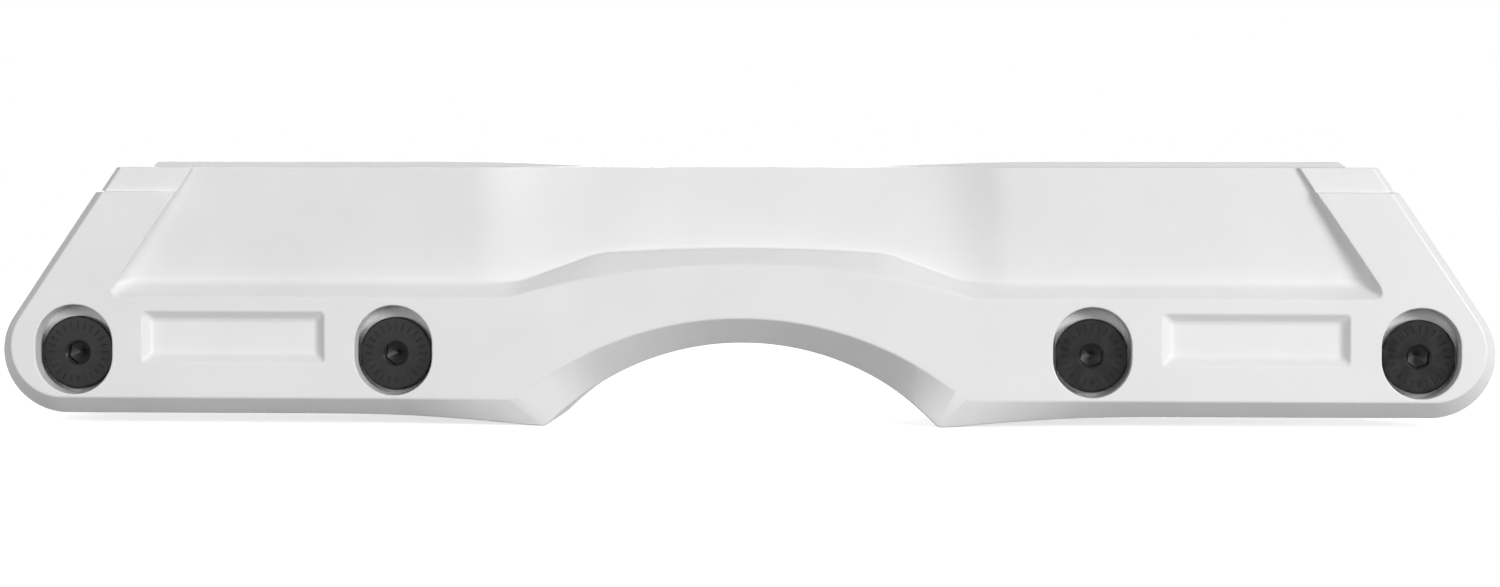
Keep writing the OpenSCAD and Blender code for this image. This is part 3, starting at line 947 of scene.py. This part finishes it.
# %% Copy both to the four axles
def place_copies(piece, title):
    copies = []
    for number, x in enumerate((-OUTER_X, -INNER_X, INNER_X, OUTER_X), start=1):
        pick(piece)
        bpy.ops.object.duplicate(linked=False)
        copy = bpy.context.object
        copy.name = f"{title}_{number}"
        copy.scale = (MM, MM, MM)
        copy.location = (x * MM, 0.0, AXLE_Z * MM)
        bpy.ops.object.transform_apply(location=True, rotation=True, scale=True)
        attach(copy, f"axle_{title}_{number}")
        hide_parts(f"axle_{title}_{number}")
        copies.append(copy)
    bpy.data.objects.remove(piece, do_unlink=True)
    return copies


barrels = place_copies(barrel, "barrel")
bolts = place_copies(bolt, "bolt")
print("axle pieces:", [piece.name for piece in barrels + bolts])

# %% [markdown]
# ## White moulded nylon
# The chassis is moulded from nylon: nearly white, slightly translucent, with a satin skin that still
# shows the spark-worn grain of the mould. A picture of plastic would need an unwrapped mesh, so noise
# makes it instead. One broad noise tints the colour and the gloss a little, a fine one makes the grain,
# and both read Object coordinates, so they stay on the piece.


# %% Small helpers for node materials
def new_material(name):
    material = bpy.data.materials.new(name)
    material.use_nodes = True
    return material, material.node_tree, material.node_tree.nodes["Principled BSDF"]


def set_inputs(node, **inputs):
    for name, value in inputs.items():
        node.inputs[name.replace("_", " ")].default_value = value


def add_node(tree, kind, **inputs):
    node = tree.nodes.new(kind)
    set_inputs(node, **inputs)
    return node


def object_place(tree):
    return tree.nodes.new("ShaderNodeTexCoord").outputs["Object"]


def add_noise(tree, place, scale, detail):
    noise = add_node(tree, "ShaderNodeTexNoise", Scale=scale, Detail=detail)
    tree.links.new(place, noise.inputs["Vector"])
    return noise.outputs["Fac"]


def spread(tree, value, low, high, start=0.3, end=0.7):
    """A noise value mapped to a range of numbers."""
    span = add_node(tree, "ShaderNodeMapRange", From_Min=start, From_Max=end, To_Min=low, To_Max=high)
    tree.links.new(value, span.inputs["Value"])
    return span.outputs["Result"]


def colour_mix(tree, share, second):
    """A node that mixes its colour A with the second colour by a share."""
    blend = tree.nodes.new("ShaderNodeMix")
    blend.data_type = "RGBA"
    blend.inputs["B"].default_value = (*second, 1.0)
    tree.links.new(share, blend.inputs["Factor"])
    return blend


def two_tone(tree, share, first, second):
    blend = colour_mix(tree, share, second)
    blend.inputs["A"].default_value = (*first, 1.0)
    return blend.outputs["Result"]


def add_bump(tree, shader, height, strength, distance):
    bump = add_node(tree, "ShaderNodeBump", Strength=strength, Distance=distance)
    tree.links.new(height, bump.inputs["Height"])
    tree.links.new(bump.outputs["Normal"], shader.inputs["Normal"])


def dress(pieces, material):
    for piece in pieces:
        piece.data.materials.clear()
        piece.data.materials.append(material)


# %% Nylon for the chassis
NYLON_DULL, NYLON_BRIGHT = (0.775, 0.778, 0.776), (0.82, 0.82, 0.815)
nylon, tree, shader = new_material("white_nylon")
place = object_place(tree)
cloud = add_noise(tree, place, scale=45.0, detail=4.0)
grain = add_noise(tree, place, scale=2600.0, detail=3.0)
tint = two_tone(tree, spread(tree, cloud, low=0.0, high=1.0), NYLON_DULL, NYLON_BRIGHT)
tree.links.new(tint, shader.inputs["Base Color"])
tree.links.new(spread(tree, cloud, low=0.46, high=0.34), shader.inputs["Roughness"])
add_bump(tree, shader, grain, strength=0.1, distance=0.04 * MM)
set_inputs(
    shader, Specular_IOR_Level=0.45, Subsurface_Weight=0.1, Subsurface_Radius=(1.0, 0.95, 0.9),
    Subsurface_Scale=2.0 * MM)
dress([chassis], nylon)
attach(chassis, "frame")
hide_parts("frame_body")
print("chassis dressed in", nylon.name)

# %% [markdown]
# ## Blackened steel
# The axles are turned from steel and blackened. Fine rings from the lathe run round each axle's own
# centre line, so every axle has its own copy of the material, whose Mapping node moves the centre there.
# The black is patchy, and it is rubbed a little thinner on the rim of the heads. Plain black paint would
# hide the metal, so the shader stays partly metallic.

# %% Black finish for each axle
BLACK_DEEP, BLACK_THIN, BARE_RIM = (0.006, 0.006, 0.0065), (0.016, 0.016, 0.0165), (0.07, 0.07, 0.072)
RIM_WORN_FROM, RIM_WORN_TO = 6.85, 7.2
# Without its Y, a place is as long as its distance from the centre line
WITHOUT_Y = (1.0, 0.0, 1.0)


def calculate(tree, kind, operation, *values):
    """A Math or Vector Math node that works on the outputs of other nodes."""
    node = tree.nodes.new(kind)
    node.operation = operation
    for value, socket in zip(values, node.inputs):
        tree.links.new(value, socket)
    return node


def rim_share(tree, place):
    """0 inside the rim of the head and nearly 1 at its edge."""
    flat = calculate(tree, "ShaderNodeVectorMath", "MULTIPLY", place)
    flat.inputs[1].default_value = WITHOUT_Y
    radius = calculate(tree, "ShaderNodeVectorMath", "LENGTH", flat.outputs["Vector"]).outputs["Value"]
    return spread(tree, radius, low=0.0, high=0.8, start=RIM_WORN_FROM * MM, end=RIM_WORN_TO * MM)


def blackened_steel(name, x):
    material, tree, shader = new_material(name)
    centre = add_node(tree, "ShaderNodeMapping", Location=(-x * MM, 0.0, -AXLE_Z * MM))
    tree.links.new(object_place(tree), centre.inputs["Vector"])
    place = centre.outputs["Vector"]
    lathe = add_node(tree, "ShaderNodeTexWave", Scale=700.0, Distortion=1.2, Detail=2.0)
    lathe.wave_type, lathe.rings_direction = "RINGS", "Y"
    tree.links.new(place, lathe.inputs["Vector"])
    patch = add_noise(tree, place, scale=420.0, detail=5.0)
    thin = spread(tree, patch, low=0.0, high=1.0, start=0.42, end=0.62)
    rubbed = calculate(tree, "ShaderNodeMath", "MULTIPLY", rim_share(tree, place), thin)
    black = two_tone(tree, spread(tree, patch, low=0.0, high=1.0), BLACK_DEEP, BLACK_THIN)
    worn = colour_mix(tree, rubbed.outputs["Value"], BARE_RIM)
    tree.links.new(black, worn.inputs["A"])
    tree.links.new(worn.outputs["Result"], shader.inputs["Base Color"])
    tree.links.new(spread(tree, patch, low=0.26, high=0.42), shader.inputs["Roughness"])
    set_inputs(shader, Metallic=0.25, Specular_IOR_Level=0.27)
    add_bump(tree, shader, lathe.outputs["Fac"], strength=0.12, distance=0.03 * MM)
    return material


for barrel_piece, bolt_piece in zip(barrels, bolts):
    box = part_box("axle_" + barrel_piece.name)
    middle = (box[0][0] + box[1][0]) / 2 / MM
    dress([barrel_piece, bolt_piece], blackened_steel("black_" + barrel_piece.name, middle))
    print(barrel_piece.name, "dressed round x =", round(middle, 1), "mm")

# %% [markdown]
# ## Locking sleeves
# A short sleeve of blue nylon in each bolt's thread grips the barrel, so that the bolt can't work loose.
# It hides in the barrel until the bolt is out, and the CAD shape is right as it is, so it only gets its
# colour.

# %% Blue nylon for the sleeves
BLUE_DARK, BLUE_LIGHT = (0.012, 0.07, 0.3), (0.02, 0.11, 0.42)
sleeve_nylon, tree, shader = new_material("lock_nylon")
mottle = add_noise(tree, object_place(tree), scale=900.0, detail=3.0)
tree.links.new(two_tone(tree, mottle, BLUE_DARK, BLUE_LIGHT), shader.inputs["Base Color"])
tree.links.new(spread(tree, mottle, low=0.42, high=0.58), shader.inputs["Roughness"])
add_bump(tree, shader, mottle, strength=0.15, distance=0.03 * MM)
sleeves = [node for name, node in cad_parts.items() if name.startswith("lock_sleeve")]
dress(sleeves, sleeve_nylon)
print(len(sleeves), "sleeves dressed in", sleeve_nylon.name)

# %% [markdown]
# ## The studio
# A product picture like this is taken on white paper between soft boxes. The paper is white to the camera
# and keeps the frame's soft shadow close by, and further out it fades to plain white. More light would
# make it white too, but it would wash out the frame. As a source of light the paper is only grey, because
# in such a picture little light comes up from below, and the bevels that look down stay darker.

# %% White paper under the frame
PAPER_SIZE, PAPER_TONE = 30.0, 0.9
BOUNCE_TONE, GLOW = 0.31, 0.72
SHADOW_TO, WHITE_FROM = 0.35, 1.1


def seen_rays(tree):
    """1 for what the camera sees straight, mirrored or through glass, and 0 for bounced light."""
    light_path = tree.nodes.new("ShaderNodeLightPath")
    seen = light_path.outputs["Is Camera Ray"]
    for name in ("Is Glossy Ray", "Is Transmission Ray"):
        larger = calculate(tree, "ShaderNodeMath", "MAXIMUM", seen, light_path.outputs[name])
        seen = larger.outputs["Value"]
    return seen


def matt(tree, tone):
    return add_node(tree, "ShaderNodeBsdfDiffuse", Color=(tone, tone, tone, 1.0)).outputs["BSDF"]


def shine(tree, strength):
    return add_node(tree, "ShaderNodeEmission", Strength=strength).outputs["Emission"]


def mix_shaders(tree, share, first, second):
    """The first shader where the share is 0 and the second where it is 1."""
    blend = tree.nodes.new("ShaderNodeMixShader")
    tree.links.new(share, blend.inputs["Fac"])
    tree.links.new(first, blend.inputs[1])
    tree.links.new(second, blend.inputs[2])
    return blend.outputs["Shader"]


pick_none()
bpy.ops.mesh.primitive_plane_add(size=PAPER_SIZE)
floor = bpy.context.object
floor.name = "floor"
paper = bpy.data.materials.new("paper")
paper.use_nodes = True
tree = paper.node_tree
tree.nodes.clear()
near_paper = tree.nodes.new("ShaderNodeAddShader")
tree.links.new(matt(tree, PAPER_TONE), near_paper.inputs[0])
tree.links.new(shine(tree, GLOW), near_paper.inputs[1])
distance = calculate(tree, "ShaderNodeVectorMath", "LENGTH", object_place(tree))
fade = add_node(tree, "ShaderNodeMapRange", From_Min=SHADOW_TO, From_Max=WHITE_FROM)
fade.interpolation_type = "SMOOTHSTEP"
tree.links.new(distance.outputs["Value"], fade.inputs["Value"])
seen_paper = mix_shaders(tree, fade.outputs["Result"], near_paper.outputs["Shader"], shine(tree, 1.0))
surface = mix_shaders(tree, seen_rays(tree), matt(tree, BOUNCE_TONE), seen_paper)
tree.links.new(surface, tree.nodes.new("ShaderNodeOutputMaterial").inputs["Surface"])
floor.data.materials.append(paper)
print("paper: shadow kept to", SHADOW_TO, "m, plain white from", WHITE_FROM, "m")

# %% [markdown]
# The main light is a soft box on the right, in front of the frame and a little above it, so surfaces that
# face right are the brightest. A weaker box on the left opens the shadows, and one behind keeps the back
# and the deck white when the frame is turned. Point lamps would give hard shadows, and on a white
# moulding they look like dirt. The background shines white to the camera, but gives little light.

# %% Background and three soft boxes
AMBIENT, BACKDROP = 0.28, 1.0
LAMP_AIM = Vector((0.0, 0.0, 0.03))


def aim(item, target):
    item.rotation_euler = (target - item.location).to_track_quat("-Z", "Y").to_euler()


def softbox(name, place, size, power):
    pick_none()
    bpy.ops.object.light_add(type="AREA", location=place)
    lamp = bpy.context.object
    lamp.name = name
    lamp.data.shape = "RECTANGLE"
    lamp.data.size, lamp.data.size_y = size
    lamp.data.energy = power
    aim(lamp, LAMP_AIM)
    print(name, "at", place, "with", power, "W")


world = bpy.data.worlds.new("studio")
bpy.context.scene.world = world
world.use_nodes = True
tree = world.node_tree
background = tree.nodes["Background"]
set_inputs(background, Color=(1.0, 1.0, 1.0, 1.0))
strength = tree.nodes.new("ShaderNodeMix")
strength.data_type = "FLOAT"
set_inputs(strength, A=AMBIENT, B=BACKDROP)
tree.links.new(seen_rays(tree), strength.inputs["Factor"])
tree.links.new(strength.outputs["Result"], background.inputs["Strength"])
softbox("key_light", place=(1.08, -1.3, 0.38), size=(0.7, 0.5), power=20.6)
softbox("fill_light", place=(-0.5, -1.5, 0.3), size=(0.9, 0.6), power=5.2)
softbox("back_light", place=(-0.4, 1.4, 0.6), size=(1.0, 0.8), power=12.0)

# %% [markdown]
# The camera looks square on to the side, level with the deck and a little right of the middle, through a
# long lens. That shows one side of each recess and pocket wider than the other, and the edge of the deck
# as a thin line. A short lens from close by would stretch the ends.

# %% Camera
VIEW_DISTANCE, VIEW_YAW, VIEW_HEIGHT = 0.680, math.radians(2.93), 0.050
VIEW_LENS, VIEW_ROLL = 83.43, math.radians(0.05)
VIEW_AIM = Vector((0.00176, -HALF_W * MM, 0.0263))
view_place = VIEW_AIM + Vector((math.sin(VIEW_YAW), -math.cos(VIEW_YAW), 0.0)) * VIEW_DISTANCE
view_place.z = VIEW_HEIGHT
pick_none()
bpy.ops.object.camera_add(location=view_place)
camera = bpy.context.object
camera.data.lens = VIEW_LENS
aim(camera, VIEW_AIM)
camera.rotation_euler.rotate_axis("Z", VIEW_ROLL)
bpy.context.scene.camera = camera
bpy.context.scene.view_settings.view_transform = "Standard"
print("camera", round(VIEW_DISTANCE, 2), "m away, lens", VIEW_LENS, "mm")
